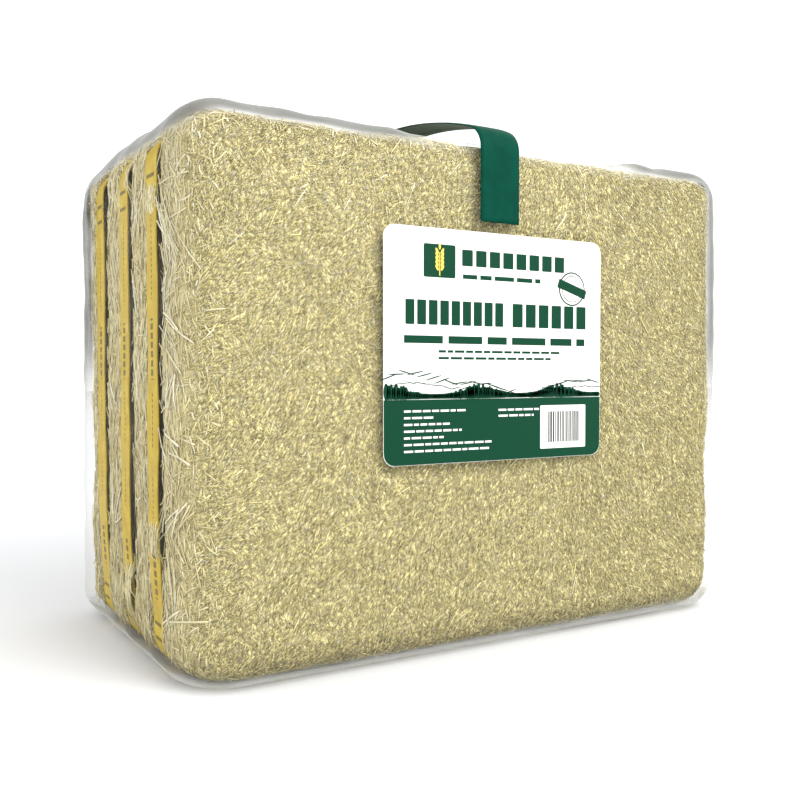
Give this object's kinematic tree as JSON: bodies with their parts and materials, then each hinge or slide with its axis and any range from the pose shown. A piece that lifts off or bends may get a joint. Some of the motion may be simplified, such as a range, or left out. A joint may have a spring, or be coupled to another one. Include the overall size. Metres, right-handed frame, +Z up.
{
  "type": "square straw bale",
  "caption": "Pressed square block of straw tied by flat straps, in a clear film bag with a flat carry strap over the top and a label on the front.",
  "frame": {"origin": "middle of the flat base, on the surface that the bale stands on", "axes": "+X along the long front face towards its right end, +Y from the labelled front face to the back, +Z up"},
  "size_m": [0.572, 0.3422, 0.4735],
  "materials": {
    "straw": "chopped and pressed wheat straw, dry and matt, pale gold",
    "strap": "flat polypropylene strapping, yellow, with fine printed guide marks",
    "film": "clear polyethylene film, slightly milky, wrinkled at the edges",
    "handle": "flat woven polypropylene strip, dark green",
    "label": "coated label stock, white above and dark green below"
  },
  "bodies": {
    "root": {"straw_block": "straw", "strap_front": "strap", "strap_middle": "strap", "strap_back": "strap", "film_bag": "film", "carry_handle": "handle", "label": "label"}
  },
  "joints": []
}
